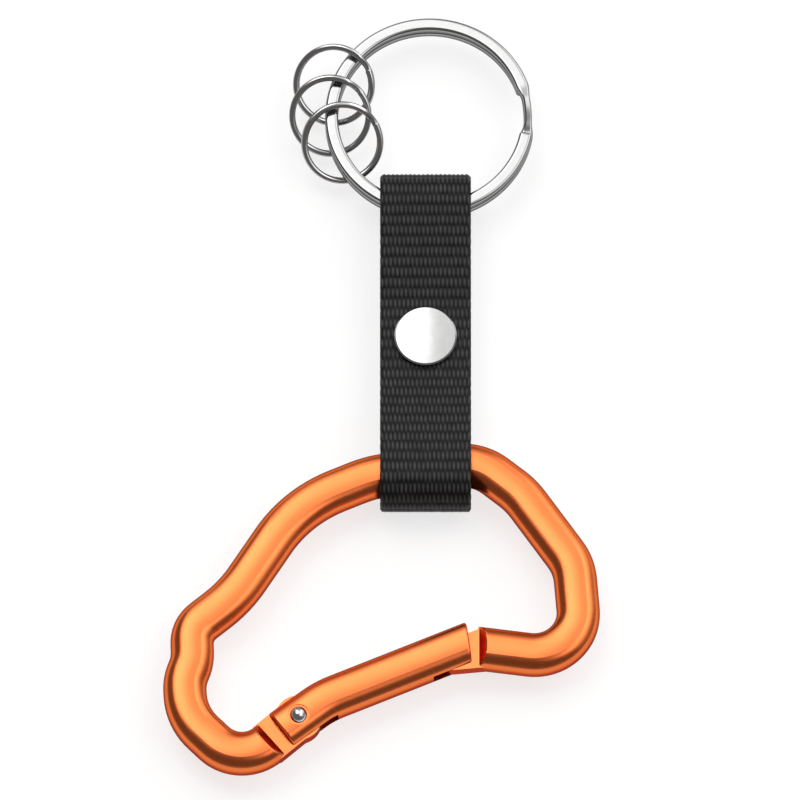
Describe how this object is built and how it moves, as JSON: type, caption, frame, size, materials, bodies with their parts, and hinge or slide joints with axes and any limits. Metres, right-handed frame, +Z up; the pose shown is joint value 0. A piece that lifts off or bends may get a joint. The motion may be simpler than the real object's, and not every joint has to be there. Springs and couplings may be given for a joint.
{
  "type": "carabiner keyring",
  "caption": "Bent-bar carabiner with a sprung gate, a riveted webbing loop, a split ring and small rings, for carrying keys.",
  "frame": {"origin": "on the surface that it lies on, below the middle of the whole object", "axes": "+Z up from the surface that it lies on, +Y from the carabiner towards the split ring, +X across"},
  "size_m": [0.0726, 0.1336, 0.0106],
  "materials": {
    "anodised_aluminium": "orange anodised, satin, with fine brush lines",
    "rivet_steel": "bright steel",
    "spring_steel": "drawn spring wire",
    "webbing": "black ribbed polyester webbing",
    "polished_cap": "polished plate",
    "nickel_plate": "polished nickel plate",
    "small_ring_steel": "dark nickel plate"
  },
  "bodies": {
    "carabiner": {"carabiner_body": "anodised_aluminium"},
    "gate": {"gate": "anodised_aluminium", "gate_pivot_rivet": "rivet_steel", "gate_spring": "spring_steel"},
    "plunger": {"gate_plunger": "rivet_steel"},
    "strap": {"webbing_strap": "webbing", "rivet_cap": "polished_cap", "rivet_post": "rivet_steel", "rivet_plate": "rivet_steel"},
    "split_ring": {"split_ring": "nickel_plate"},
    "small_ring_1": {"small_ring_1": "small_ring_steel"},
    "small_ring_2": {"small_ring_2": "small_ring_steel"},
    "small_ring_3": {"small_ring_3": "small_ring_steel"}
  },
  "joints": [
    {"name": "gate_hinge", "type": "hinge", "parent": "carabiner", "child": "gate", "pos_m": [-0.0138, -0.0574, 0.0053], "axis": [0, 0, 1], "range_deg": [0, 30], "stiffness_Nm_per_rad": 0.02, "springref_deg": -22.92},
    {"name": "plunger_slide", "type": "slide", "parent": "gate", "child": "plunger", "axis": [0.9225, 0.3859, 0], "range_m": [0, 0.0011], "deforming": ["gate_spring"]},
    {"name": "strap_swing", "type": "hinge", "parent": "carabiner", "child": "strap", "pos_m": [0.0073, -0.01345, 0.0053], "axis": [0.992, 0.126, 0], "range_deg": [-150, 150]},
    {"name": "split_ring_swing", "type": "hinge", "parent": "strap", "child": "split_ring", "pos_m": [0.008, 0.0339, 0.0053], "axis": [1, 0, 0], "range_deg": [-90, 90]},
    {"name": "small_ring_1_slide_round", "type": "hinge", "parent": "split_ring", "child": "small_ring_1", "pos_m": [0.008, 0.0491, 0.0053], "axis": [0, 0, -1], "range_deg": [0, 165]},
    {"name": "small_ring_2_slide_round", "type": "hinge", "parent": "split_ring", "child": "small_ring_2", "pos_m": [0.008, 0.0491, 0.0053], "axis": [0, 0, -1], "range_deg": [0, 165]},
    {"name": "small_ring_3_slide_round", "type": "hinge", "parent": "split_ring", "child": "small_ring_3", "pos_m": [0.008, 0.0491, 0.0053], "axis": [0, 0, -1], "range_deg": [0, 165]}
  ],
  "couplings": [
    {"joint": "plunger_slide", "follows": "gate_hinge", "m_per_rad": 0.0021},
    {"joint": "small_ring_2_slide_round", "follows": "small_ring_1_slide_round", "ratio": 1},
    {"joint": "small_ring_3_slide_round", "follows": "small_ring_1_slide_round", "ratio": 1}
  ]
}
